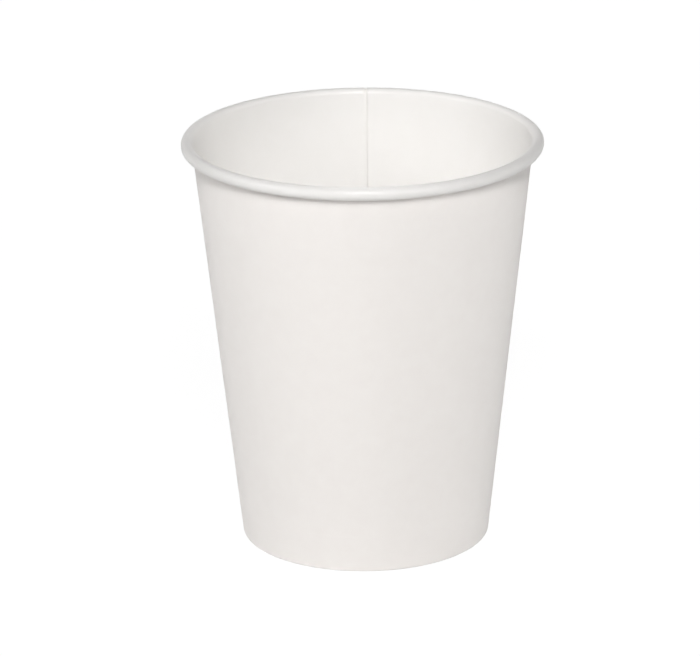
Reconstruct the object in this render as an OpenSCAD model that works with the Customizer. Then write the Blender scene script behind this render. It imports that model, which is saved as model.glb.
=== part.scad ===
// Paper coffee cup: a board sidewall wrapped to a cone and lapped, its top edge rolled outwards
// into the rim, its foot turned in round the skirt of a board base.
// Millimetres. The origin is the centre of the foot on the table, and +Z is up.

/* [Cup] */
// Outside diameter across the rolled rim
rim_d = 80; // [70:1:95]
// Height from the table to the top of the rolled rim
height = 92.2; // [75:0.1:120]
// Outside diameter of the wall's cone at the table
base_d = 55.5; // [50:0.5:62]

/* [Sidewall board] */
// Thickness of the sidewall board
wall_t = 0.35; // [0.25:0.01:0.42]
// Width of the sealed lap, along the rim
lap_w = 8; // [5:0.5:12]
// Angle round the cup of the lap's inner cut edge, from +X
lap_angle = 88.6; // [0:0.1:360]
// Width of the step by which the board climbs over its own edge, along the rim
step_w = 0.9; // [0.6:0.1:1.5]
// How far above the folded foot the lap's outer board is cut back
lap_foot = 0.3; // [0.2:0.1:2]

/* [Rolled rim] */
// Width of the roll, from the wall's inner face to its outermost line
roll_w = 2.7; // [2.4:0.05:3.4]
// Height of the roll
roll_h = 2.85; // [2.6:0.05:3.4]
// Clearance between the wall and the part of the roll that tucks in beside it
roll_gap = 0.05; // [0.02:0.01:0.2]
// How far the tucked edge turns on past the roll's lowest line, in degrees
tuck_turn = 130; // [90:5:150]

/* [Foot and base] */
// Thickness of the base board
base_t = 0.3; // [0.2:0.01:0.4]
// Height of the base's underside above the table
base_rise = 8; // [7:0.1:14]
// Outer radius of the base's edge, where its disc turns down into its skirt
base_edge_r = 1; // [0.6:0.05:1.2]
// Length of the hem, from the foot up inside the base's skirt
hem_h = 6.3; // [4:0.1:6.5]
// How much of the folded foot is pressed flat on the table
foot_flat = 0.08; // [0.04:0.01:0.15]
// Clearance between the base's skirt and the wall and hem that hold it
seal_gap = 0.03; // [0.01:0.01:0.06]

/* [Hidden] */
// Greatest angle between two points of a bend, in degrees
bend_step = 9;

// Directions in the section, as distances outwards from the cup's axis and up
OUT = [1, 0];
DOWN = [0, -1];
IN = [-1, 0];

// The roll is three arcs, each with its own radius: over the top, down the side, and the tuck.
top_r = roll_w / 2;
side_r = roll_h - top_r;
roll_centre = [rim_d / 2 - top_r, height - top_r];

// The wall's outer line leaves the table at base_d and passes the roll's centre at top_r - wall_t.
to_roll = roll_centre - [base_d / 2, 0];
lean = acos((top_r - wall_t) / norm(to_roll)) - atan2(to_roll[1], to_roll[0]);
tuck_r = (top_r + (top_r - side_r) * cos(lean) + side_r * sin(lean) - wall_t - roll_gap) / (1 + sin(lean));
// The bends over the top, until the strip runs down, and down the side, until it runs in
roll = [[top_r, heading_of(DOWN) - lean], [side_r, heading_of(IN) - heading_of(DOWN)]];

// The foot folds round the skirt's lower edge.
fold_r = base_t / 2 + seal_gap;
fold_z = fold_r + wall_t - foot_flat;
fold_centre = [wall_line(fold_z) - fold_r / cos(lean), fold_z];
hem_top = fold_centre + hem_h * toward(lean) - fold_r * right_of(lean);
wall_foot = fold_centre + fold_r * right_of(lean);
wall_length = (roll_centre - fold_centre) * toward(lean);

// Over the lap two boards lie in the roll, so the tuck is cut short before it meets the wall.
lap_tuck_turn = 30;
lap_span = 360 * lap_w / (PI * rim_d);
step_span = 360 * step_w / (PI * rim_d);
STEPS = 3;
// The board is cut back a little more from step to step, at the foot as a share, in the roll in degrees.
foot_cut = 0.2;
roll_cut = 5;
// Share of the board's thickness by which two sealed boards, or a cutter and a board, overlap
bite = 0.1;

// The base's skirt hangs parallel to the wall.
base_top = base_rise + base_t;
edge_z = base_top - base_edge_r;
edge_centre = [wall_line(edge_z) - (seal_gap + base_edge_r) / cos(lean), edge_z];
skirt_length = (edge_centre - fold_centre) * toward(lean);

// A heading is the way a strip of board runs in the section, in degrees clockwise from straight up.
function heading_of(direction) = (360 + atan2(direction[0], direction[1])) % 360;

// Unit direction of a heading
function toward(heading) = [sin(heading), cos(heading)];

// Unit direction to the right of a heading
function right_of(heading) = [cos(heading), -sin(heading)];

// Radius of the wall's inner face at a height
function wall_line(z) = base_d / 2 - wall_t / cos(lean) + z * tan(lean);

// A strip starts at a place, [point, heading], and makes moves: [length] is a straight stretch, and
// [radius, turn] a bend, clockwise if turn is positive. Depth is measured to the right of the strip.
function is_bend(move) = len(move) == 2;

// Centre of a bend that starts at a place
function bend_centre(place, move) = place[0] + sign(move[1]) * move[0] * right_of(place[1]);

// Point of a bend at a depth, where the strip has a heading
function bend_point(place, move, heading, depth) =
    bend_centre(place, move) + (depth - sign(move[1]) * move[0]) * right_of(heading);

// The place after one move
function after(place, move) =
    is_bend(move)
        ? [bend_point(place, move, place[1] + move[1], 0), place[1] + move[1]]
        : [place[0] + move[0] * toward(place[1]), place[1]];

// The place where a move starts
function place_at(start, moves, i) = i == 0 ? start : after(place_at(start, moves, i - 1), moves[i - 1]);

// Points that one move adds at a depth
function move_points(place, move, depth) =
    is_bend(move)
        ? let (steps = ceil(abs(move[1]) / bend_step))
            [for (i = [1 : steps]) bend_point(place, move, place[1] + move[1] * i / steps, depth)]
        : [after(place, move)[0] + depth * right_of(place[1])];

// Line of a strip at a depth
function strip_line(start, moves, depth) = concat(
    [start[0] + depth * right_of(start[1])],
    [for (i = [0 : len(moves) - 1]) each move_points(place_at(start, moves, i), moves[i], depth)]
);

// List in the opposite order
function backwards(list) = [for (i = [len(list) - 1 : -1 : 0]) list[i]];

// Section of a strip of board that lies between two depths
module strip_section(start, moves, lo, hi) {
    polygon(concat(strip_line(start, moves, lo), backwards(strip_line(start, moves, hi))));
}

// Section of the wall and its roll, from above the foot to part of the way round the tuck
module wall_section(foot, tuck, lo, hi) {
    start = [wall_foot + foot * toward(lean), lean];
    tail = tuck > 0 ? [[tuck_r, tuck]] : [];
    strip_section(start, concat([[wall_length - foot]], roll, tail), lo, hi);
}

// Section of the whole blank, from the hem's cut edge to the edge tucked into the roll
module blank_section() {
    intersection() {
        strip_section(
            [hem_top, heading_of(DOWN) + lean],
            concat([[hem_h], [fold_r, -heading_of(DOWN)], [wall_length]], roll, [[tuck_r, tuck_turn]]),
            0,
            wall_t
        );
        square([rim_d, height + roll_h]);
    }
}

// Section of the stretch of the tuck that is cut away over the lap, a little thicker than the board
module tuck_waste() {
    side_end = roll_centre + [top_r - side_r, -side_r];
    start = after([side_end, heading_of(IN)], [tuck_r, lap_tuck_turn]);
    strip_section(start, [[tuck_r, tuck_turn]], -roll_gap / 2, (1 + 2 * bite) * wall_t);
}

// A section swept round the cup, over a span that starts at an angle
module sweep(from, span) {
    rotate([0, 0, from]) rotate_extrude(angle = span) children();
}

// Sidewall: one blank, with its hem, folded foot, conical wall, rolled rim and lapped seam
module sidewall() {
    one_step = step_span / STEPS;
    color("whitesmoke") {
        // The blank goes once round, and its inner cut edge stands where the step starts.
        difference() {
            rotate_extrude() blank_section();
            sweep(lap_angle, step_span)
                wall_section(2 * lap_foot, 2 * lap_tuck_turn, -bite * wall_t, (1 + bite) * wall_t);
            sweep(lap_angle - lap_span - one_step, lap_span + step_span + 2 * one_step) tuck_waste();
        }
        // The outer end of the blank climbs the step and lies on the inner end, over the lap.
        for (i = [1 : STEPS]) {
            lift = wall_t * i / (STEPS + 1);
            foot = lap_foot * (1 + foot_cut * (STEPS + 1 - i));
            sweep(lap_angle + step_span - (i + 0.5) * one_step, 2 * one_step)
                wall_section(foot, roll_cut * (STEPS + 1 - i), lift, lift + wall_t);
        }
        sweep(lap_angle - lap_span, lap_span + one_step / 2)
            wall_section(lap_foot, 0, (1 - bite) * wall_t, 2 * wall_t);
    }
}

// Base: a disc whose edge turns down into the skirt that the sidewall's foot holds
module base() {
    color("white") {
        rotate_extrude() strip_section(
            [[0, base_top], heading_of(OUT)],
            [[edge_centre[0]], [base_edge_r, heading_of(DOWN) + lean - heading_of(OUT)], [skirt_length]],
            0,
            base_t
        );
    }
}

sidewall();
base();
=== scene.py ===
"""A paper cup for hot drinks: its looks, light and camera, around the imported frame.

The cup is two pieces of board. The sidewall is one flat blank, wrapped round a cone along a section
that is folded as the real one is: hem, foot, wall and rolled rim. The base is a disc with a skirt
turned down at its edge. Lengths are in metres, +Z is up, and the origin is the centre of the foot.
"""

import logging
import math
from dataclasses import dataclass
from enum import Enum
from typing import Any

import bpy
from mathutils import Matrix, Vector


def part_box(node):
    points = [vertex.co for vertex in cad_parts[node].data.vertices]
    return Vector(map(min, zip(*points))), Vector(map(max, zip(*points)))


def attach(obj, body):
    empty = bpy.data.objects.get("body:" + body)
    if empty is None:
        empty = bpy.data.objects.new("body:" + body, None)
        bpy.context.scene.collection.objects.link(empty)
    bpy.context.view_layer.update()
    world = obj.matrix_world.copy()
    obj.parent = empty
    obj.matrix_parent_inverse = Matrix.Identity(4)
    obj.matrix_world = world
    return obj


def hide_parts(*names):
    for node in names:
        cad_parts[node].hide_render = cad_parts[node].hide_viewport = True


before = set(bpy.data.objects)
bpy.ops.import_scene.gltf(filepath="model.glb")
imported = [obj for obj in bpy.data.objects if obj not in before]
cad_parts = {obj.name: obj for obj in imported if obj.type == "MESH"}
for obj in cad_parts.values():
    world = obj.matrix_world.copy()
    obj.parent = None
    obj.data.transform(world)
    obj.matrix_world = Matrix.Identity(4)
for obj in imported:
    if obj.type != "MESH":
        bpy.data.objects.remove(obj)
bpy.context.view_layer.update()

MM = 0.001
LOG = logging.getLogger("cup")

# A heading is the way a strip of board runs in the section, in degrees clockwise from straight up.
OUT = 90.0
DOWN = 180.0
IN = 270.0
FULL = 360.0

# Sides are stored as numbers, and two that differ by less than this are the same side.
SAME_SIDE = 0.1
# Points of a mesh that are closer than this are joined.
WELD = 0.001 * MM

# The types of node that come back most
MATH = "ShaderNodeMath"
VECTOR_MATH = "ShaderNodeVectorMath"
TURN = "ShaderNodeVectorRotate"
READ = "GeometryNodeInputNamedAttribute"
STORE = "GeometryNodeStoreNamedAttribute"

# What a node's inputs are given: by name or place, or simply in order
Inputs = dict[str | int, Any] | list[Any] | None


class Side(Enum):
    """The sides of a piece of board, as its faces are numbered for their material."""

    FILM = 0
    BOARD = 1
    EDGE = 2


def linear_rgba(hex_colour: str) -> tuple[float, float, float, float]:
    """Turns an sRGB hex colour to linear light.

    Args:
        hex_colour: The colour as six hex digits after a hash.

    Returns:
        Red, green, blue and an alpha of 1.
    """
    channels = [int(hex_colour[i:i + 2], 16) / 255 for i in (1, 3, 5)]
    linear = [c / 12.92 if c <= 0.04045 else ((c + 0.055) / 1.055) ** 2.4 for c in channels]
    return (linear[0], linear[1], linear[2], 1.0)


def live_socket(sockets: Any, key: str | int) -> bpy.types.NodeSocket:
    """Finds a socket that is in use.

    Args:
        sockets: A node's inputs or outputs.
        key: The socket's name, or its place in the list.

    Returns:
        The socket at that place, or the first one in use with that name.
    """
    if isinstance(key, int):
        return sockets[key]
    return next(s for s in sockets if s.name == key and s.enabled)


def add_node(tree: bpy.types.NodeTree, kind: str, inputs: Inputs = None, **settings: Any) -> bpy.types.Node:
    """Adds a node with its settings and links.

    Args:
        tree: The node tree to add to.
        kind: The node's type name.
        inputs: For each input, by name or place, or simply in order, a value, a socket, or a node
            whose first live output is linked.
        settings: Values of the node's own properties.

    Returns:
        The new node.
    """
    node = tree.nodes.new(kind)
    for name, value in settings.items():
        setattr(node, name, value)
    given = inputs if isinstance(inputs, dict) else dict(enumerate(inputs or []))
    for key, value in given.items():
        target = live_socket(node.inputs, key)
        if isinstance(value, bpy.types.Node):
            value = next(s for s in value.outputs if s.enabled)
        if isinstance(value, bpy.types.NodeSocket):
            tree.links.new(value, target)
        else:
            target.default_value = value
    return node


@dataclass(frozen=True)
class Place:
    """A point of the section and the way the strip runs there.

    Attributes:
        radius: Distance from the cup's axis.
        height: Height above the table.
        heading: Heading in degrees.
    """

    radius: float
    height: float
    heading: float

    def toward(self) -> tuple[float, float]:
        """Unit direction of the heading, as radius and height."""
        return math.sin(math.radians(self.heading)), math.cos(math.radians(self.heading))

    def right(self) -> tuple[float, float]:
        """Unit direction to the right of the heading, as radius and height."""
        return math.cos(math.radians(self.heading)), -math.sin(math.radians(self.heading))

    def moved(self, along: float, across: float) -> "Place":
        """Shifts the place.

        Args:
            along: Distance along the heading.
            across: Distance to the right of the heading.

        Returns:
            The shifted place, with the same heading.
        """
        (ax, az), (rx, rz) = self.toward(), self.right()
        return Place(
            self.radius + along * ax + across * rx,
            self.height + along * az + across * rz,
            self.heading,
        )


@dataclass(frozen=True)
class Move:
    """One stretch of a strip of board in the section.

    Attributes:
        size: Length of a straight stretch, or radius of a bend.
        turn: Angle of a bend in degrees, clockwise if positive, or 0 for a straight stretch.
        rows: How many rows of faces the stretch gets.
        first: Turn round the cup, in degrees, at which the blank starts to have this stretch.
        last: Turn at which it ends.
        lifted: Whether the blank's outer end climbs over its inner end here.
    """

    size: float
    turn: float
    rows: int
    first: float = 0.0
    last: float = FULL
    lifted: bool = False

    def places(self, start: Place) -> list[Place]:
        """Lists the places at the end of each row.

        Args:
            start: Where the stretch starts.

        Returns:
            One place for each row of faces.
        """
        if not self.turn:
            return [start.moved(self.size * i / self.rows, 0) for i in range(1, self.rows + 1)]
        hand = math.copysign(1, self.turn)
        centre = start.moved(0, hand * self.size)
        turned = (
            Place(centre.radius, centre.height, start.heading + self.turn * i / self.rows)
            for i in range(1, self.rows + 1)
        )
        return [place.moved(0, -hand * self.size) for place in turned]


@dataclass(frozen=True)
class CupSizes:
    """The cup's driving sizes, in metres, and what follows from them.

    Attributes:
        rim_d: Outside diameter across the rolled rim.
        height: Height of the cup.
        base_d: Outside diameter of the wall's cone at the table.
        wall_t: Thickness of the sidewall board.
        base_t: Thickness of the base board.
        roll_w: Width of the roll.
        roll_h: Height of the roll.
        roll_gap: Clearance between the wall and the tucked edge of the roll.
        lap_w: Width of the sealed lap, along the rim.
        lap_angle: Angle round the cup of the lap's inner cut edge, in degrees from +X.
        step_w: Width over which the board climbs its own edge, along the rim.
        lap_foot: How far above the folded foot the lap's outer board is cut back.
        hem_h: Length of the hem.
        base_rise: Height of the base's underside above the table.
        base_edge_r: Outer radius of the base's turned edge.
        foot_flat: How much of the folded foot is pressed flat on the table.
        seal_gap: Clearance between the base's skirt and the board on both sides of it.
    """

    rim_d: float
    height: float
    base_d: float = 55.5 * MM
    wall_t: float = 0.35 * MM
    base_t: float = 0.3 * MM
    roll_w: float = 2.7 * MM
    roll_h: float = 2.85 * MM
    roll_gap: float = 0.05 * MM
    lap_w: float = 8 * MM
    lap_angle: float = 88.2
    step_w: float = 0.9 * MM
    lap_foot: float = 0.3 * MM
    hem_h: float = 6.3 * MM
    base_rise: float = 8 * MM
    base_edge_r: float = 1 * MM
    foot_flat: float = 0.08 * MM
    seal_gap: float = 0.03 * MM

    @property
    def top_r(self) -> float:
        """Radius of the roll's arc over the top."""
        return self.roll_w / 2

    @property
    def side_r(self) -> float:
        """Radius of the roll's arc down the side."""
        return self.roll_h - self.top_r

    @property
    def roll_centre(self) -> tuple[float, float]:
        """Radius and height of the centre of the roll's top arc."""
        return self.rim_d / 2 - self.top_r, self.height - self.top_r

    @property
    def lean(self) -> float:
        """Angle between the wall and the cup's axis.

        Returns:
            The angle in degrees.
        """
        across = self.roll_centre[0] - self.base_d / 2
        up = self.roll_centre[1]
        reach = math.acos((self.top_r - self.wall_t) / math.hypot(across, up))
        return math.degrees(reach - math.atan2(up, across))

    @property
    def tuck_r(self) -> float:
        """Radius of the roll's tucked end.

        Returns:
            The radius that leaves roll_gap between the tucked end and the wall.
        """
        cosine, sine = math.cos(math.radians(self.lean)), math.sin(math.radians(self.lean))
        room = self.top_r + (self.top_r - self.side_r) * cosine + self.side_r * sine
        return (room - self.wall_t - self.roll_gap) / (1 + sine)

    def wall_line(self, height: float) -> float:
        """Radius of the wall's inner face at a height."""
        lean = math.radians(self.lean)
        return self.base_d / 2 - self.wall_t / math.cos(lean) + height * math.tan(lean)

    @property
    def base_top(self) -> float:
        """Height of the base's upper side."""
        return self.base_rise + self.base_t

    @property
    def fold_r(self) -> float:
        """Inner radius of the folded foot, round the skirt's lower edge."""
        return self.base_t / 2 + self.seal_gap

    @property
    def fold_centre(self) -> Place:
        """Centre of the folded foot.

        Returns:
            The centre, heading up the wall.
        """
        height = self.fold_r + self.wall_t - self.foot_flat
        radius = self.wall_line(height) - self.fold_r / math.cos(math.radians(self.lean))
        return Place(radius, height, self.lean)

    def along_wall(self, radius: float, height: float) -> float:
        """Distance up the wall from the folded foot's centre to a point."""
        ax, az = self.fold_centre.toward()
        return (radius - self.fold_centre.radius) * ax + (height - self.fold_centre.height) * az

    def round_rim(self, length: float) -> float:
        """Angle in degrees of a length along the rim."""
        return FULL * length / (math.pi * self.rim_d)

    @property
    def lap_span(self) -> float:
        """Angle of the lap round the cup, in degrees."""
        return self.round_rim(self.lap_w)

    @property
    def step_span(self) -> float:
        """Angle of the step round the cup, in degrees."""
        return self.round_rim(self.step_w)


def walk(start: Place, moves: list[Move]) -> tuple[list[Place], list[Move]]:
    """Follows a strip through its section.

    Args:
        start: Where the strip starts.
        moves: The strip's stretches, in order.

    Returns:
        The places at the rows' ends, and for each place the stretch that goes on from it.
    """
    places = [start]
    owners = []
    for move in moves:
        added = move.places(places[-1])
        places.extend(added)
        owners.extend([move] * len(added))
    return places, owners + [moves[-1]]


def section_mesh(name: str, places: list[Place], values: dict[str, list[float]]) -> bpy.types.Mesh:
    """Makes a mesh of bare points that holds a section for a node tree.

    Args:
        name: Name of the mesh.
        places: The places of the section, one for each row.
        values: What else the tree reads, as one number for each row under each name.

    Returns:
        The mesh, one point for each row.
    """
    mesh = bpy.data.meshes.new(name)
    mesh.from_pydata([(p.radius, 0, p.height) for p in places], [], [])
    for key, vectors in {
        "place": [(p.radius, 0, p.height) for p in places],
        "side": [(p.right()[0], 0, p.right()[1]) for p in places],
    }.items():
        data = mesh.attributes.new(key, "FLOAT_VECTOR", "POINT").data
        data.foreach_set("vector", [c for vector in vectors for c in vector])
    for key, numbers in values.items():
        mesh.attributes.new(key, "FLOAT", "POINT").data.foreach_set("value", numbers)
    return mesh


def ease(low: float, high: float, value: float) -> float:
    """Smooth step from 0 at low to 1 at high."""
    share = min(max((value - low) / (high - low), 0.0), 1.0)
    return share * share * (3 - 2 * share)


class BoardTree:
    """A Geometry Nodes tree that lays rows of board round the cup's axis.

    The object's own points are the section, one for each row. The tree is given named inputs, and
    it ends in a plain mesh whose faces have their materials by side.
    """

    INPUTS: dict[str, str] = {
        "Columns": "NodeSocketInt",
        "Rows": "NodeSocketInt",
        "Film": "NodeSocketMaterial",
        "Board": "NodeSocketMaterial",
        "Edge": "NodeSocketMaterial",
    }

    def __init__(self, name: str) -> None:
        """Starts the tree with its named inputs.

        Args:
            name: Name of the node group.
        """
        self.tree = bpy.data.node_groups.new(name, "GeometryNodeTree")
        face = self.tree.interface
        face.new_socket("Geometry", in_out="INPUT", socket_type="NodeSocketGeometry")
        face.new_socket("Geometry", in_out="OUTPUT", socket_type="NodeSocketGeometry")
        for label, kind in self.INPUTS.items():
            face.new_socket(label, in_out="INPUT", socket_type=kind)
        self.given = self.add("NodeGroupInput").outputs
        self.section = self.given["Geometry"]

    def add(self, kind: str, inputs: Inputs = None, **settings: Any) -> bpy.types.Node:
        """Adds a node to this tree, as add_node does."""
        return add_node(self.tree, kind, inputs, **settings)

    def of_row(self, name: str, row: Any, data_type: str = "FLOAT") -> bpy.types.Node:
        """Reads what the section says for a row.

        Args:
            name: Name of the attribute on the section's points.
            row: The row's number.
            data_type: The attribute's data type.

        Returns:
            The node whose output is that value.
        """
        value = self.add(READ, {"Name": name}, data_type=data_type)
        return self.add(
            "GeometryNodeSampleIndex",
            {"Geometry": self.section, "Value": value, "Index": row},
            data_type=data_type,
            domain="POINT",
            clamp=True,
        )

    def lay_out(self) -> tuple[bpy.types.Node, bpy.types.Node, bpy.types.Node]:
        """Lays out the flat grid of faces that becomes the board.

        Returns:
            The grid, and for each of its points the row's number and the column's number.
        """
        rows = self.given["Rows"]
        vertices = self.add(MATH, [self.given["Columns"], 1.0], operation="ADD")
        grid = self.add(
            "GeometryNodeMeshGrid",
            {"Size X": 1.0, "Size Y": 1.0, "Vertices X": vertices, "Vertices Y": rows},
        )
        # Half a vertex is added, so that a rounding error can't shift a point to the next column.
        index = self.add("GeometryNodeInputIndex")
        middle = self.add(MATH, [index, 0.5], operation="ADD")
        place = self.add(MATH, [middle, rows], operation="DIVIDE")
        column = self.add(MATH, [place], operation="FLOOR")
        share = self.add(MATH, [place], operation="FRACT")
        along = self.add(MATH, [share, rows], operation="MULTIPLY")
        row = self.add(MATH, [along], operation="FLOOR")
        return grid, row, column

    def end(self, geometry: Any) -> None:
        """Ends the tree: realizes what is there and sets a material on each side of the board.

        Args:
            geometry: The finished geometry, whose faces carry their side as a number.
        """
        shown = self.add("GeometryNodeRealizeInstances", {"Geometry": geometry})
        for side, label in ((Side.FILM, "Film"), (Side.BOARD, "Board"), (Side.EDGE, "Edge")):
            number = self.add(READ, {"Name": "board_side"}, data_type="FLOAT")
            chosen = self.add(
                "FunctionNodeCompare",
                {0: number, 1: float(side.value), "Epsilon": SAME_SIDE},
                data_type="FLOAT",
                operation="EQUAL",
            )
            shown = self.add(
                "GeometryNodeSetMaterial",
                {"Geometry": shown, "Selection": chosen, "Material": self.given[label]},
            )
        self.add("NodeGroupOutput", {"Geometry": shown})

    def run(self, name: str, section: bpy.types.Mesh, values: dict[str, Any]) -> bpy.types.Object:
        """Runs the tree on a section and keeps the result as a plain mesh.

        Args:
            name: Name of the new piece.
            section: The section's points.
            values: A value for each named input.

        Returns:
            The piece, an object at the origin with no modifier left.
        """
        maker = bpy.data.objects.new(f"{name}_maker", section)
        bpy.context.scene.collection.objects.link(maker)
        modifier = maker.modifiers.new("shape", "NODES")
        modifier.node_group = self.tree
        for item in self.tree.interface.items_tree:
            if item.in_out == "INPUT" and item.name in values:
                modifier[item.identifier] = values[item.name]
        depsgraph = bpy.context.evaluated_depsgraph_get()
        mesh = bpy.data.meshes.new_from_object(maker.evaluated_get(depsgraph), depsgraph=depsgraph)
        maker.modifiers.remove(modifier)
        bpy.data.objects.remove(maker)
        mesh.name = name
        piece = bpy.data.objects.new(name, mesh)
        bpy.context.scene.collection.objects.link(piece)
        return piece


class BlankTree(BoardTree):
    """Wraps a flat blank of board round the cup, with its lap, and gives it its thickness."""

    INPUTS = {
        **BoardTree.INPUTS,
        "Board thickness": "NodeSocketFloat",
        "Lift": "NodeSocketFloat",
        "Start angle": "NodeSocketFloat",
        "Step span": "NodeSocketFloat",
        "Lap span": "NodeSocketFloat",
        "Pressed span": "NodeSocketFloat",
        "Pressed depth": "NodeSocketFloat",
        "Step columns": "NodeSocketInt",
        "Lap columns": "NodeSocketInt",
        "Ridges": "NodeSocketFloat",
        "Ridge depth": "NodeSocketFloat",
        "Waviness": "NodeSocketFloat",
        "Wave length": "NodeSocketFloat",
    }

    # The base is never quite round, so its ring shows more at some places round the cup: at so many,
    # with this phase in degrees, and with a strength that changes by this share up and down.
    RING_CRESTS = 2.0
    RING_PHASE = -150.0
    RING_CHANGE = 0.35
    # The slow waves have one finer layer, of this strength.
    WAVE_DETAIL = 1.0
    WAVE_MIX = 0.4

    def __init__(self, name: str) -> None:
        """Builds the tree.

        Args:
            name: Name of the node group.
        """
        super().__init__(name)
        grid, row, column = self.lay_out()
        wrapped = self.wrap(grid, row, self.turn_round(column))
        self.end(self.thicken(self.cut(wrapped)))

    def turn_round(self, column: Any) -> bpy.types.Node:
        """Works out how far round the cup a column lies, with narrow columns over step and lap.

        Args:
            column: The column's number.

        Returns:
            The turn round the cup in degrees.
        """
        given = self.given
        lap_start = self.add(MATH, [given["Columns"], given["Lap columns"]], operation="SUBTRACT")
        step_start = self.add(MATH, [lap_start, given["Step columns"]], operation="SUBTRACT")
        plain = self.add(MATH, [FULL, given["Step span"]], operation="SUBTRACT")
        before, over_step, over_lap = (
            self.add("ShaderNodeMapRange", [column, first, last, 0.0, span])
            for first, last, span in (
                (0.0, step_start, plain),
                (step_start, lap_start, given["Step span"]),
                (lap_start, given["Columns"], given["Lap span"]),
            )
        )
        joined = self.add(MATH, [before, over_step], operation="ADD")
        return self.add(MATH, [joined, over_lap], operation="ADD")

    def wrap(self, grid: Any, row: Any, turn: Any) -> bpy.types.Node:
        """Bends the blank along the section and round the cup.

        Args:
            grid: The flat grid.
            row: The row's number.
            turn: The turn round the cup in degrees.

        Returns:
            The wrapped grid, the film's side of the board, with what the next steps read.
        """
        point = self.of_row("place", row, "FLOAT_VECTOR")
        side = self.of_row("side", row, "FLOAT_VECTOR")
        # The hem's and foot's two cut edges stand a hair apart where the lap is cut back.
        reach = self.add(MATH, [turn, self.of_row("reach", row)], operation="MINIMUM")
        angle = self.add(MATH, [self.given["Start angle"], reach], operation="SUBTRACT")
        azimuth = self.add(MATH, [angle], operation="RADIANS")
        lift, press = self.lap(row, turn)
        lifted = self.add(VECTOR_MATH, {0: side, "Scale": lift}, operation="SCALE")
        moved = self.add(VECTOR_MATH, [point, lifted], operation="ADD")
        bulged = self.add(VECTOR_MATH, [moved, self.bulge(point, azimuth, row)], operation="ADD")
        full = self.ridged_thickness(azimuth, row)
        thickness = self.add(MATH, [full, press], operation="SUBTRACT")
        through = self.add(VECTOR_MATH, {0: side, "Scale": thickness}, operation="SCALE")
        placed, across = (
            self.add(TURN, {"Vector": flat, "Angle": azimuth}, rotation_type="Z_AXIS")
            for flat in (bulged, through)
        )
        kept = grid
        for name, data_type, value in (
            ("across", "FLOAT_VECTOR", across),
            ("row", "FLOAT", row),
            ("turn", "FLOAT", turn),
        ):
            kept = self.add(
                STORE,
                {"Geometry": kept, "Name": name, "Value": value},
                data_type=data_type,
                domain="POINT",
            )
        return self.add("GeometryNodeSetPosition", {"Geometry": kept, "Position": placed})

    def lap(self, row: Any, turn: Any) -> tuple[bpy.types.Node, bpy.types.Node]:
        """Works out how the blank's outer end lies on its inner end.

        The seam is sealed on a mandrel, so the inside stays smooth: the inner end is pressed thinner
        towards its cut edge, from the outside, and the outer end climbs only what is left of it.

        Args:
            row: The row's number.
            turn: The turn round the cup in degrees.

        Returns:
            How far the board is lifted outwards, and how much thinner it is.
        """
        given = self.given
        start = self.add(MATH, [FULL, given["Step span"]], operation="SUBTRACT")
        climb = self.add(
            "ShaderNodeMapRange",
            [turn, start, FULL, 0.0, self.of_row("lifted", row)],
            interpolation_type="SMOOTHSTEP",
        )
        allowed = self.of_row("pressed", row)
        deepest = self.add(MATH, [given["Pressed depth"], allowed], operation="MULTIPLY")
        presses = []
        for edge in (0.0, FULL):
            end = self.add(MATH, [edge, given["Pressed span"]], operation="ADD")
            presses.append(self.add(
                "ShaderNodeMapRange",
                [turn, edge, end, deepest, 0.0],
                interpolation_type="SMOOTHSTEP",
            ))
        inner, under_outer = presses
        left = self.add(MATH, [given["Lift"], under_outer], operation="SUBTRACT")
        return self.add(MATH, [climb, left], operation="MULTIPLY"), inner

    def bulge(self, point: Any, azimuth: Any, row: Any) -> bpy.types.Node:
        """Works out how far the wall bulges, in slow waves and in the faint ring of the base's edge.

        Args:
            point: The section's point for the row.
            azimuth: The angle round the cup in radians.
            row: The row's number.

        Returns:
            The shift outwards, as a vector in the section.
        """
        given = self.given
        around = self.add(TURN, {"Vector": point, "Angle": azimuth}, rotation_type="Z_AXIS")
        scale = self.add(MATH, [1.0, given["Wave length"]], operation="DIVIDE")
        noise = self.add(
            "ShaderNodeTexNoise",
            {"Vector": around, "Scale": scale, "Detail": self.WAVE_DETAIL, "Roughness": self.WAVE_MIX},
            noise_dimensions="3D",
        )
        centred = self.add(MATH, [noise, 0.5], operation="SUBTRACT")
        wave = self.add(MATH, [centred, given["Waviness"]], operation="MULTIPLY")
        waves = self.add(MATH, [wave, self.of_row("free", row)], operation="MULTIPLY")
        shift = math.radians(self.RING_PHASE)
        phase = self.add(MATH, [azimuth, self.RING_CRESTS, shift], operation="MULTIPLY_ADD")
        lobes = self.add(MATH, [phase], operation="COSINE")
        change = self.RING_CHANGE
        strength = self.add(MATH, [lobes, change, 1 - change], operation="MULTIPLY_ADD")
        ring = self.add(MATH, [self.of_row("swell", row), strength], operation="MULTIPLY")
        outward = self.add(MATH, [waves, ring], operation="ADD")
        return self.add("ShaderNodeCombineXYZ", {"X": outward})

    def ridged_thickness(self, azimuth: Any, row: Any) -> bpy.types.Node:
        """Works out the board's thickness with the grooves of the knurling wheel in the hem.

        Args:
            azimuth: The angle round the cup in radians.
            row: The row's number.

        Returns:
            The thickness before the seam is pressed.
        """
        given = self.given
        phase = self.add(MATH, [azimuth, given["Ridges"]], operation="MULTIPLY")
        ridge = self.add(MATH, [phase], operation="COSINE")
        # The cosine becomes a share of the depth: 0 on a ridge, and 1 in the groove beside it.
        groove = self.add(MATH, [ridge, -0.5, 0.5], operation="MULTIPLY_ADD")
        dent = self.add(MATH, [groove, given["Ridge depth"]], operation="MULTIPLY")
        dent = self.add(MATH, [dent, self.of_row("ridged", row)], operation="MULTIPLY")
        return self.add(MATH, [given["Board thickness"], dent], operation="SUBTRACT")

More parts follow.
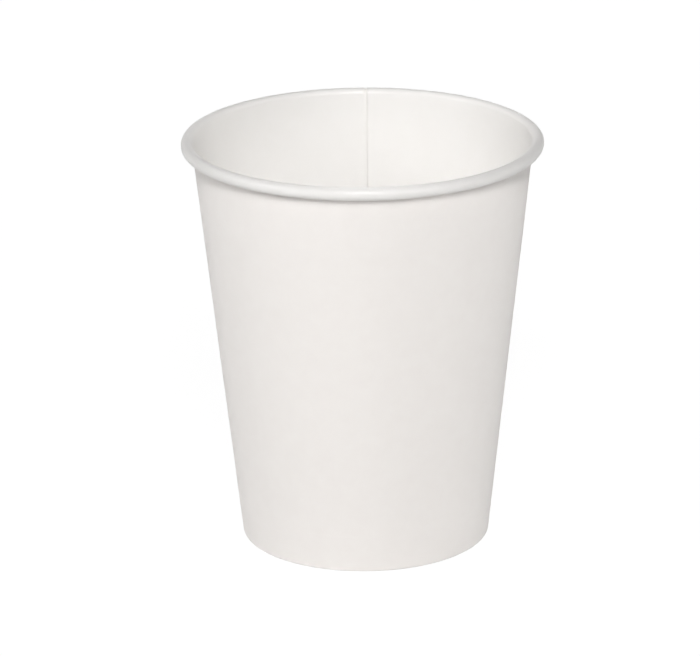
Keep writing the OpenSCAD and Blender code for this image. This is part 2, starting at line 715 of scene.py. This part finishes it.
    def cut(self, wrapped: Any) -> bpy.types.Node:
        """Cuts the blank's corners back at the foot and in the roll.

        Args:
            wrapped: The wrapped grid.

        Returns:
            What is left of it.
        """
        stored = self.add(READ, {"Name": "row"}, data_type="FLOAT")
        turn = self.add(READ, {"Name": "turn"}, data_type="FLOAT")
        row = self.add(MATH, [stored], operation="FLOOR")
        early = self.add(MATH, [turn, self.of_row("first", row)], operation="LESS_THAN")
        late = self.add(MATH, [turn, self.of_row("last", row)], operation="GREATER_THAN")
        either = self.add(MATH, [early, late], operation="ADD")
        gone = self.add(MATH, [either, 0.5], operation="GREATER_THAN")
        return self.add(
            "GeometryNodeDeleteGeometry",
            {"Geometry": wrapped, "Selection": gone},
            domain="FACE",
            mode="ALL",
        )

    def thicken(self, film: Any) -> bpy.types.Node:
        """Gives the wrapped sheet its thickness and closes it along its cut edges.

        Args:
            film: The film's side of the board.

        Returns:
            The closed board, each face with its side as a number.
        """
        turned = self.add("GeometryNodeFlipFaces", {"Mesh": film})
        raised = self.add(
            "GeometryNodeExtrudeMesh",
            {"Mesh": turned, "Offset Scale": 0.0, "Individual": False},
            mode="FACES",
        ).outputs
        across = self.add(READ, {"Name": "across"}, data_type="FLOAT_VECTOR")
        outer = self.add(
            "GeometryNodeSetPosition",
            {"Geometry": raised["Mesh"], "Selection": raised["Top"], "Offset": across},
        )
        board_or_edge = self.add(
            "ShaderNodeMapRange", {0: raised["Side"], 3: float(Side.BOARD.value), 4: float(Side.EDGE.value)}
        )
        both = self.add("GeometryNodeJoinGeometry")
        for sheet, number, smooth in (
            (outer, board_or_edge, raised["Top"]),
            (film, float(Side.FILM.value), True),
        ):
            numbered = self.add(
                STORE,
                {"Geometry": sheet, "Name": "board_side", "Value": number},
                data_type="FLOAT",
                domain="FACE",
            )
            shaded = self.add("GeometryNodeSetShadeSmooth", {"Geometry": numbered, "Shade Smooth": smooth})
            self.tree.links.new(shaded.outputs[0], both.inputs[0])
        closed = self.add("GeometryNodeMergeByDistance", {"Geometry": both, "Distance": WELD})
        # The folded foot is pressed flat on the table.
        place = self.add("ShaderNodeSeparateXYZ", [self.add("GeometryNodeInputPosition")]).outputs
        level = self.add(MATH, [place["Z"], 0.0], operation="MAXIMUM")
        pressed = self.add("ShaderNodeCombineXYZ", [place["X"], place["Y"], level])
        return self.add("GeometryNodeSetPosition", {"Geometry": closed, "Position": pressed})


class DiscTree(BoardTree):
    """Turns a closed outline of board round the cup's axis."""

    INPUTS = {
        **BoardTree.INPUTS,
        "Puckers": "NodeSocketFloat",
        "Pucker depth": "NodeSocketFloat",
    }

    def __init__(self, name: str) -> None:
        """Builds the tree.

        Args:
            name: Name of the node group.
        """
        super().__init__(name)
        grid, row, column = self.lay_out()
        self.end(self.close(self.turn(grid, row, column)))

    def turn(self, grid: Any, row: Any, column: Any) -> bpy.types.Node:
        """Turns the outline round the axis, with the fine gathers of its turned edge.

        Args:
            grid: The flat grid.
            row: The row's number.
            column: The column's number.

        Returns:
            The turned outline, which still knows its rows.
        """
        given = self.given
        share = self.add(MATH, [column, given["Columns"]], operation="DIVIDE")
        azimuth = self.add(MATH, [share, -2 * math.pi], operation="MULTIPLY")
        phase = self.add(MATH, [azimuth, given["Puckers"]], operation="MULTIPLY")
        wave = self.add(MATH, [phase], operation="SINE")
        depth = self.add(MATH, [wave, given["Pucker depth"]], operation="MULTIPLY")
        gather = self.add(MATH, [depth, self.of_row("puckered", row)], operation="MULTIPLY")
        side = self.of_row("side", row, "FLOAT_VECTOR")
        shift = self.add(VECTOR_MATH, {0: side, "Scale": gather}, operation="SCALE")
        point = self.of_row("place", row, "FLOAT_VECTOR")
        moved = self.add(VECTOR_MATH, [point, shift], operation="ADD")
        placed = self.add(TURN, {"Vector": moved, "Angle": azimuth}, rotation_type="Z_AXIS")
        kept = self.add(
            STORE,
            {"Geometry": grid, "Name": "row", "Value": row},
            data_type="FLOAT",
            domain="POINT",
        )
        return self.add("GeometryNodeSetPosition", {"Geometry": kept, "Position": placed})

    def close(self, turned: Any) -> bpy.types.Node:
        """Numbers the faces by side, and joins the last column to the first and the poles to points.

        Args:
            turned: The turned outline.

        Returns:
            The closed disc, smooth but for its cut edge.
        """
        stored = self.add(READ, {"Name": "row"}, data_type="FLOAT")
        row = self.add(MATH, [stored], operation="FLOOR")
        numbered = self.add(
            STORE,
            {"Geometry": turned, "Name": "board_side", "Value": self.of_row("board_side", row)},
            data_type="FLOAT",
            domain="FACE",
        )
        closed = self.add("GeometryNodeMergeByDistance", {"Geometry": numbered, "Distance": WELD})
        number = self.add(READ, {"Name": "board_side"}, data_type="FLOAT")
        edge = self.add(MATH, [number, float(Side.EDGE.value), SAME_SIDE], operation="COMPARE")
        smooth = self.add(MATH, [1.0, edge], operation="SUBTRACT")
        return self.add("GeometryNodeSetShadeSmooth", {"Geometry": closed, "Shade Smooth": smooth})


@dataclass(frozen=True)
class Grain:
    """A natural pattern of a real size.

    Attributes:
        size: Width of its features.
        detail: Number of finer layers in it.
        mix: Strength of each finer layer, as a share of the one before.
    """

    size: float
    detail: float
    mix: float

    def inputs(self, place: Any) -> dict[str, Any]:
        """The pattern as a noise's inputs, at a place on the piece."""
        return {"Vector": place, "Scale": 1 / self.size, "Detail": self.detail, "Roughness": self.mix}


@dataclass(frozen=True)
class BoardFinish:
    """A surface of cup board: two close colours in soft clouds, over a fine relief.

    Attributes:
        name: Name of the material.
        colour: The surface's colour.
        shade: Colour of its denser places.
        clouds: Pattern of those places.
        relief: Pattern of the fine relief.
        relief_strength: How much of the relief shows.
        relief_depth: Depth of the relief.
        roughness: Roughness of the board's surface.
        ior: Index of refraction of what faces the air.
    """

    name: str
    colour: str
    shade: str
    clouds: Grain
    relief: Grain
    relief_strength: float
    relief_depth: float
    roughness: float
    ior: float = 1.45

    def reflection(self, relief: Any) -> dict[str, Any]:
        """How the surface throws light back, as a shader's inputs."""
        return {"Roughness": self.roughness, "IOR": self.ior, "Normal": relief}

    def make(self) -> bpy.types.Material:
        """Makes the material.

        Returns:
            The material, with its pattern laid over the piece in real sizes.
        """
        material = bpy.data.materials.new(self.name)
        material.use_nodes = True
        tree = material.node_tree
        tree.nodes.clear()
        place = add_node(tree, "ShaderNodeTexCoord").outputs["Object"]
        clouds = add_node(tree, "ShaderNodeTexNoise", self.clouds.inputs(place))
        colour = add_node(
            tree,
            "ShaderNodeMix",
            {"Factor": clouds, "A": linear_rgba(self.colour), "B": linear_rgba(self.shade)},
            data_type="RGBA",
        )
        fine = add_node(tree, "ShaderNodeTexNoise", self.relief.inputs(place))
        relief = add_node(
            tree,
            "ShaderNodeBump",
            {"Height": fine, "Strength": self.relief_strength, "Distance": self.relief_depth},
        )
        surface = add_node(
            tree,
            "ShaderNodeBsdfPrincipled",
            {"Base Color": live_socket(colour.outputs, "Result"), **self.reflection(relief)},
        )
        add_node(tree, "ShaderNodeOutputMaterial", {"Surface": surface})
        return material


@dataclass(frozen=True)
class CalenderedBoard(BoardFinish):
    """Bleached cup board, pressed smooth between rolls and left uncoated.

    Attributes:
        spread: How evenly its loose fibres scatter light.
    """

    # Bare pressed fibre gives an even matt white with no clear highlight, and clouds so faint that
    # they only take the flatness away. The fibres, about 0.03 mm wide, are drawn coarser to show.
    name: str = "calendered_uncoated_board"
    colour: str = "#F3F0ED"
    shade: str = "#EFEBE8"
    clouds: Grain = Grain(3.5 * MM, 3.0, 0.6)
    relief: Grain = Grain(0.35 * MM, 4.0, 0.65)
    relief_strength: float = 0.25
    relief_depth: float = 0.02 * MM
    roughness: float = 0.72
    spread: float = 0.6

    def reflection(self, relief: Any) -> dict[str, Any]:
        """How the board throws light back, as a shader's inputs."""
        return {**super().reflection(relief), "Diffuse Roughness": self.spread}


@dataclass(frozen=True)
class ExtrudedFilm(BoardFinish):
    """Polyethylene film, run hot on the board and chilled against a matt roll.

    Attributes:
        sheen: Strength of the film's sheen.
        gloss: Roughness of the film's own surface, as the roll left it.
    """

    # The clear film keeps the board's white and gives the rim a soft highlight, which its unevenness,
    # a millimetre wide and a few thousandths deep, breaks up a little. The film is melted onto the
    # fibres, so the board under it has no sheen of its own.
    name: str = "extruded_polyethylene_film_on_board"
    colour: str = "#F3F1EF"
    shade: str = "#F0EEEB"
    clouds: Grain = Grain(4 * MM, 3.0, 0.6)
    relief: Grain = Grain(0.9 * MM, 2.0, 0.5)
    relief_strength: float = 0.2
    relief_depth: float = 0.03 * MM
    roughness: float = 0.7
    ior: float = 1.51
    sheen: float = 0.55
    gloss: float = 0.3

    def reflection(self, relief: Any) -> dict[str, Any]:
        """How film and board throw light back, as a shader's inputs.

        Args:
            relief: The relief that the film follows.

        Returns:
            A value for each input of the surface.
        """
        return {
            "Roughness": self.roughness,
            "Specular IOR Level": 0.0,
            "Normal": relief,
            "Coat Weight": self.sheen,
            "Coat Roughness": self.gloss,
            "Coat IOR": self.ior,
            "Coat Normal": relief,
        }


@dataclass(frozen=True)
class DieCutEdge(BoardFinish):
    """The board's edge, cut through by a die."""

    # Open fibre with no film on it gives a dull line, a little creamier than the faces. The layers of
    # fibre, about 0.03 mm thick, are drawn coarser to show.
    name: str = "die_cut_board_edge"
    colour: str = "#ECE7DD"
    shade: str = "#DFD8CA"
    clouds: Grain = Grain(0.12 * MM, 3.0, 0.7)
    relief: Grain = Grain(0.12 * MM, 3.0, 0.7)
    relief_strength: float = 0.5
    relief_depth: float = 0.05 * MM
    roughness: float = 0.9


@dataclass(frozen=True)
class BoardFinishes:
    """The materials of a piece of cup board, by side.

    Attributes:
        film: The film's side.
        board: The uncoated side.
        edge: The cut edge.
    """

    film: bpy.types.Material
    board: bpy.types.Material
    edge: bpy.types.Material

    def inputs(self) -> dict[str, bpy.types.Material]:
        """The materials as a tree's named inputs."""
        return {"Film": self.film, "Board": self.board, "Edge": self.edge}


@dataclass(frozen=True)
class Sidewall:
    """The wrapped blank: hem, folded foot, conical wall, rolled rim and lapped seam.

    Attributes:
        sizes: The cup's sizes.
        columns: Columns of faces once round the cup, up to the step.
        step_columns: Columns over the step.
        lap_columns: Columns over the lap.
        tuck_turn: How far the tucked edge turns on past the roll's lowest line, in degrees.
        lap_tuck_turn: The same over the lap, where the blank's corner is cut back.
        glue: Gap between the lap's two boards.
        pressed: How much thinner the inner board is pressed at its cut edge, from the outside.
        pressed_w: Width over which it thins.
        roll_spared: How much less of that the roll gets, as a share.
        spared_turn: Turn of the roll over which that share grows, in degrees.
        butt_gap: Angle between the cut edges at the foot, in degrees.
        ridges: Number of ridges that the knurling wheel leaves round the hem.
        ridge_depth: Depth of the grooves between them.
        ridge_fade: Rows over which the ridges fade out at both ends of the hem.
        waviness: Depth of the wall's slow waves, from crest to trough.
        wave_length: Their length.
        wave_full: Height at which they are fully there, in heights of the base.
        swell: How far the base's edge pushes the wall out.
        swell_h: Half the height of that faint ring.
    """

    sizes: CupSizes
    columns: int = 396
    step_columns: int = 10
    lap_columns: int = 24
    tuck_turn: float = 130.0
    lap_tuck_turn: float = 30.0
    glue: float = 0.01 * MM
    pressed: float = 0.24 * MM
    pressed_w: float = 2.4 * MM
    roll_spared: float = 0.4
    spared_turn: float = 10.0
    butt_gap: float = 0.1
    ridges: float = 66.0
    ridge_depth: float = 0.12 * MM
    ridge_fade: int = 2
    waviness: float = 0.12 * MM
    wave_length: float = 28 * MM
    wave_full: float = 3.0
    swell: float = 0.03 * MM
    swell_h: float = 0.35 * MM

    def moves(self) -> list[Move]:
        """Lists the blank's stretches.

        Returns:
            The stretches, from the hem's cut edge to the edge tucked into the roll.
        """
        cup = self.sizes
        length = cup.along_wall(*cup.roll_centre)
        ring = cup.along_wall(cup.wall_line(cup.base_top), cup.base_top)
        over, joined = FULL + cup.lap_span, FULL - cup.step_span
        below, above = ring - 2 * self.swell_h, ring + 2 * self.swell_h
        tuck_left = self.tuck_turn - self.lap_tuck_turn
        return [
            Move(cup.hem_h, 0, rows=9),
            Move(cup.fold_r, -DOWN, rows=10),
            Move(cup.lap_foot, 0, rows=1),
            Move(below - cup.lap_foot, 0, rows=5, last=over, lifted=True),
            Move(above - below, 0, rows=8, last=over, lifted=True),
            Move(length - above, 0, rows=18, last=over, lifted=True),
            Move(cup.top_r, DOWN - cup.lean, rows=22, last=over, lifted=True),
            Move(cup.side_r, IN - DOWN, rows=11, last=over, lifted=True),
            Move(cup.tuck_r, self.lap_tuck_turn, rows=3, last=joined, lifted=True),
            Move(cup.tuck_r, tuck_left, rows=8, first=cup.lap_span, last=joined, lifted=True),
        ]

    def pressed_here(self, place: Place, move: Move) -> float:
        """Share of the press that a place gets: all of it on the wall, less in the roll."""
        in_roll = ease(0, self.spared_turn, place.heading - self.sizes.lean)
        return float(move.lifted) * (1 - self.roll_spared * in_roll)

    def swell_here(self, place: Place) -> float:
        """How far the base's edge pushes the wall out at a place."""
        return self.swell * math.exp(-(((place.height - self.sizes.base_top) / self.swell_h) ** 2))

    def build(self, finishes: BoardFinishes) -> bpy.types.Object:
        """Builds the piece.

        Args:
            finishes: The board's materials.

        Returns:
            The piece.
        """
        cup = self.sizes
        start = cup.fold_centre.moved(cup.hem_h, -cup.fold_r)
        moves = self.moves()
        places, owners = walk(Place(start.radius, start.height, DOWN + cup.lean), moves)
        hem_rows = moves[0].rows
        foot_rows = hem_rows + moves[1].rows
        upright = places[foot_rows + 1:]
        folded = [0.0] * (foot_rows + 1)
        fade = self.ridge_fade
        section = section_mesh("sidewall_section", places, {
            "first": [move.first for move in owners],
            "last": [move.last for move in owners],
            "lifted": [float(move.lifted) for move in owners],
            "pressed": [self.pressed_here(place, move) for place, move in zip(places, owners)],
            "reach": [FULL - self.butt_gap] * len(folded) + [FULL + cup.lap_span] * len(upright),
            "free": folded + [ease(cup.base_top, self.wave_full * cup.base_top, p.height) for p in upright],
            "swell": folded + [self.swell_here(place) for place in upright],
            "ridged": [ease(0, fade, i) * ease(0, fade, hem_rows - i) for i in range(len(places))],
        })
        columns = self.columns + self.step_columns + self.lap_columns
        return BlankTree("wrap_the_blank").run("sidewall_board", section, {
            "Columns": columns,
            "Rows": len(places),
            "Board thickness": cup.wall_t,
            "Lift": cup.wall_t + self.glue,
            "Start angle": cup.lap_angle,
            "Step span": cup.step_span,
            "Lap span": cup.lap_span,
            "Pressed span": cup.round_rim(self.pressed_w),
            "Pressed depth": self.pressed,
            "Step columns": self.step_columns,
            "Lap columns": self.lap_columns,
            "Ridges": self.ridges,
            "Ridge depth": self.ridge_depth,
            "Waviness": self.waviness,
            "Wave length": self.wave_length,
            **finishes.inputs(),
        })


@dataclass(frozen=True)
class Base:
    """The base: a disc whose edge turns down into the skirt that the sidewall's foot holds.

    Attributes:
        sizes: The cup's sizes.
        columns: Columns of faces round the disc.
        puckers: Number of fine gathers round the turned edge.
        pucker_depth: Depth of a gather.
    """

    sizes: CupSizes
    columns: int = 360
    puckers: float = 90.0
    pucker_depth: float = 0.02 * MM

    def build(self, finishes: BoardFinishes) -> bpy.types.Object:
        """Builds the piece.

        Args:
            finishes: The board's materials.

        Returns:
            The piece.
        """
        cup = self.sizes
        edge_z = cup.base_top - cup.base_edge_r
        inset = (cup.seal_gap + cup.base_edge_r) / math.cos(math.radians(cup.lean))
        edge_x = cup.wall_line(edge_z) - inset
        disc = Move(edge_x, 0, rows=24)
        bend = Move(cup.base_edge_r, DOWN + cup.lean - OUT, rows=10)
        skirt = Move(cup.along_wall(edge_x, edge_z), 0, rows=6)
        upper, _ = walk(Place(0.0, cup.base_top, OUT), [disc, bend, skirt])
        lower = [place.moved(0, cup.base_t) for place in reversed(upper)]
        gathered = [0.0] * (disc.rows + 1)
        gathered += [ease(0, bend.rows, i) for i in range(1, bend.rows + 1)]
        gathered += [1 - ease(0, skirt.rows, i) for i in range(1, skirt.rows + 1)]
        sides = [Side.FILM] * (len(upper) - 1) + [Side.EDGE] + [Side.BOARD] * len(lower)
        mesh = section_mesh("base_outline", upper + lower, {
            "puckered": gathered + gathered[::-1],
            "board_side": [float(side.value) for side in sides],
        })
        return DiscTree("turn_the_base").run("base_board", mesh, {
            "Columns": self.columns,
            "Rows": len(sides),
            "Puckers": self.puckers,
            "Pucker depth": self.pucker_depth,
            **finishes.inputs(),
        })


@dataclass(frozen=True)
class Lamp:
    """A soft square lamp that faces the cup.

    Attributes:
        name: Name of the lamp.
        place: Where its centre is.
        size: Length of its sides.
        strength: Its power in watts.
        glossy: Whether glossy surfaces mirror it.
    """

    name: str
    place: tuple[float, float, float]
    size: float
    strength: float
    glossy: bool = True

    def build(self, target: Vector) -> bpy.types.Object:
        """Builds the lamp.

        Args:
            target: The point that the lamp faces.

        Returns:
            The lamp.
        """
        data = bpy.data.lights.new(self.name, "AREA")
        data.energy = self.strength
        data.size = self.size
        lamp = bpy.data.objects.new(self.name, data)
        lamp.location = self.place
        lamp.rotation_euler = (target - Vector(self.place)).to_track_quat("-Z", "Y").to_euler()
        lamp.visible_glossy = self.glossy
        bpy.context.scene.collection.objects.link(lamp)
        return lamp


@dataclass(frozen=True)
class Snoot:
    """A lamp with a narrow beam that falls through the cup's mouth.

    Attributes:
        name: Name of the lamp.
        place: Where it is.
        aim: Where the middle of its beam falls.
        beam: Diameter of the beam there.
        strength: Its power in watts.
        fade: Share of the beam's radius over which it fades out.
        bulb: Radius of the bulb, which softens the beam's edge.
    """

    name: str
    place: tuple[float, float, float]
    aim: tuple[float, float, float]
    beam: float
    strength: float
    fade: float = 1.0
    bulb: float = 10 * MM

    def build(self) -> bpy.types.Object:
        """Builds the lamp.

        Returns:
            The lamp.
        """
        way = Vector(self.aim) - Vector(self.place)
        data = bpy.data.lights.new(self.name, "SPOT")
        data.energy = self.strength
        data.spot_size = 2 * math.atan(self.beam / 2 / way.length)
        data.spot_blend = self.fade
        data.shadow_soft_size = self.bulb
        lamp = bpy.data.objects.new(self.name, data)
        lamp.location = self.place
        lamp.rotation_euler = way.to_track_quat("-Z", "Y").to_euler()
        bpy.context.scene.collection.objects.link(lamp)
        return lamp


@dataclass(frozen=True)
class Studio:
    """A plain white sweep, soft lamps and the camera at the photograph's angle.

    Attributes:
        lamps: The soft lamps.
        snoots: The lamps that light the inside of the cup.
        ambient: Strength of the light from all round.
        floor: Colour of the floor.
        floor_shown: How much of the floor's own light and shade the camera sees.
        floor_white: White that fills up the rest, so that the open floor comes out white.
        floor_size: Length of the floor's sides.
        target: The point that the camera looks at.
        lens: Focal length for the default 36 mm sensor, in mm.
        distance: Distance of the camera from its target.
        pitch: How far the camera looks down, in degrees.
        roll: How far it is turned about its own axis, in degrees.
        clip_start: Nearest distance that it shows.
    """

    lamps: tuple[Lamp, ...] = (
        Lamp("front", (0.0, -1.09, 0.86), 0.42, 10.9),
        Lamp("front_right", (0.73, -1.05, 0.51), 0.5, 2.1),
        Lamp("left", (-1.13, -0.41, 0.69), 0.5, 4.1),
        Lamp("back_low", (0.0, 1.30, 0.20), 0.38, 8.2, glossy=False),
        Lamp("back_right_low", (0.90, 0.90, 0.20), 0.38, 3.1, glossy=False),
        Lamp("back_left_low", (-0.90, 0.90, 0.20), 0.38, 1.5, glossy=False),
    )
    snoots: tuple[Snoot, ...] = (
        Snoot("snoot_on_base", (0.0, -0.10, 0.90), (0.0, 0.0, 0.008), 0.06, 22.0),
        Snoot("snoot_on_back", (0.10, -0.51, 0.68), (0.003, 0.036, 0.068), 0.072, 4.0),
        Snoot("snoot_on_front", (0.0, 0.52, 0.68), (0.0, -0.036, 0.074), 0.075, 5.0),
        Snoot("snoot_on_left", (0.46, -0.24, 0.68), (-0.032, 0.014, 0.070), 0.066, 4.6),
        Snoot("snoot_on_right", (-0.46, -0.24, 0.68), (0.032, 0.014, 0.070), 0.066, 4.4),
    )
    ambient: float = 0.034
    floor: str = "#F4F4F4"
    floor_shown: float = 0.12
    floor_white: float = 1.075
    floor_size: float = 6.0
    target: tuple[float, float, float] = (-3.16 * MM, 0.0, 47.44 * MM)
    lens: float = 218.52
    distance: float = 950.165 * MM
    pitch: float = 19.101
    roll: float = -0.592
    clip_start: float = 10 * MM

    def build(self) -> None:
        """Builds the camera, the lamps, the floor and the world."""
        scene = bpy.context.scene
        scene.view_settings.view_transform = "Standard"
        scene.camera = self.build_camera()
        for lamp in self.lamps:
            lamp.build(Vector(self.target))
        for snoot in self.snoots:
            snoot.build()
        self.build_floor()
        self.build_world()

    def build_camera(self) -> bpy.types.Object:
        """Builds the camera.

        Returns:
            The camera.
        """
        data = bpy.data.cameras.new("camera")
        data.lens = self.lens
        data.clip_start = self.clip_start
        camera = bpy.data.objects.new("camera", data)
        turned = Matrix.Rotation(math.radians(90 - self.pitch), 4, "X")
        turned = turned @ Matrix.Rotation(math.radians(self.roll), 4, "Z")
        away = turned.to_3x3() @ Vector((0, 0, self.distance))
        camera.matrix_world = Matrix.Translation(Vector(self.target) + away) @ turned
        bpy.context.scene.collection.objects.link(camera)
        return camera

    def background_rays(self, tree: bpy.types.NodeTree) -> bpy.types.Node:
        """Finds the rays that are shown the white background: seen directly, mirrored or refracted.

        Args:
            tree: The node tree of the floor or the world.

        Returns:
            The node whose output is 1 for such a ray and 0 for the light on the cup.
        """
        path = add_node(tree, "ShaderNodeLightPath").outputs
        shown = path["Is Camera Ray"]
        for ray in ("Is Glossy Ray", "Is Transmission Ray"):
            shown = add_node(tree, MATH, [shown, path[ray]], operation="MAXIMUM")
        return shown

    def build_floor(self) -> None:
        """Builds the floor: pale card that the camera sees as nearly pure white."""
        half = self.floor_size / 2
        corners = [(-half, -half, 0), (half, -half, 0), (half, half, 0), (-half, half, 0)]
        mesh = bpy.data.meshes.new("floor")
        mesh.from_pydata(corners, [], [(0, 1, 2, 3)])
        material = bpy.data.materials.new("white_card")
        material.use_nodes = True
        tree = material.node_tree
        tree.nodes.clear()
        matt = add_node(tree, "ShaderNodeBsdfDiffuse", {"Color": linear_rgba(self.floor)})
        white = add_node(tree, "ShaderNodeEmission", {"Strength": self.floor_white})
        hidden = 1 - self.floor_shown
        seen = add_node(tree, MATH, [self.background_rays(tree), hidden], operation="MULTIPLY")
        surface = add_node(tree, "ShaderNodeMixShader", [seen, matt, white])
        add_node(tree, "ShaderNodeOutputMaterial", {"Surface": surface})
        mesh.materials.append(material)
        floor = bpy.data.objects.new("floor", mesh)
        bpy.context.scene.collection.objects.link(floor)

    def build_world(self) -> None:
        """Builds the world: soft light from all round, and white behind the cup."""
        world = bpy.data.worlds.new("studio")
        world.use_nodes = True
        tree = world.node_tree
        tree.nodes.clear()
        shown = self.background_rays(tree)
        level = add_node(tree, "ShaderNodeMapRange", {0: shown, 3: self.ambient, 4: 1.0})
        light = add_node(tree, "ShaderNodeBackground", {"Strength": level})
        add_node(tree, "ShaderNodeOutputWorld", {"Surface": light})
        bpy.context.scene.world = world


@dataclass(frozen=True)
class PaperCup:
    """The whole cup: its two pieces of board, dressed and put in the frame.

    Attributes:
        sizes: The cup's sizes.
    """

    sizes: CupSizes

    def build(self) -> list[bpy.types.Object]:
        """Builds both pieces in the place of their CAD nodes.

        Returns:
            The pieces.
        """
        pieces = []
        finishes = BoardFinishes(ExtrudedFilm().make(), CalenderedBoard().make(), DieCutEdge().make())
        for maker, node in ((Sidewall(self.sizes), "sidewall"), (Base(self.sizes), "base")):
            piece = maker.build(finishes)
            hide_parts(node)
            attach(piece, "root")
            pieces.append(piece)
        return pieces


def main() -> None:
    """Builds the cup and its studio."""
    logging.basicConfig(level=logging.INFO, format="%(name)s: %(message)s")
    low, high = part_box("sidewall")
    sizes = CupSizes(rim_d=high[0] - low[0], height=high[2])
    rim, tall = sizes.rim_d / MM, sizes.height / MM
    LOG.info("rim %.2f mm, height %.2f mm, lean %.3f degrees", rim, tall, sizes.lean)
    for piece in PaperCup(sizes).build():
        LOG.info("%s: %d faces", piece.name, len(piece.data.polygons))
    Studio().build()


if __name__ == "__main__":
    main()
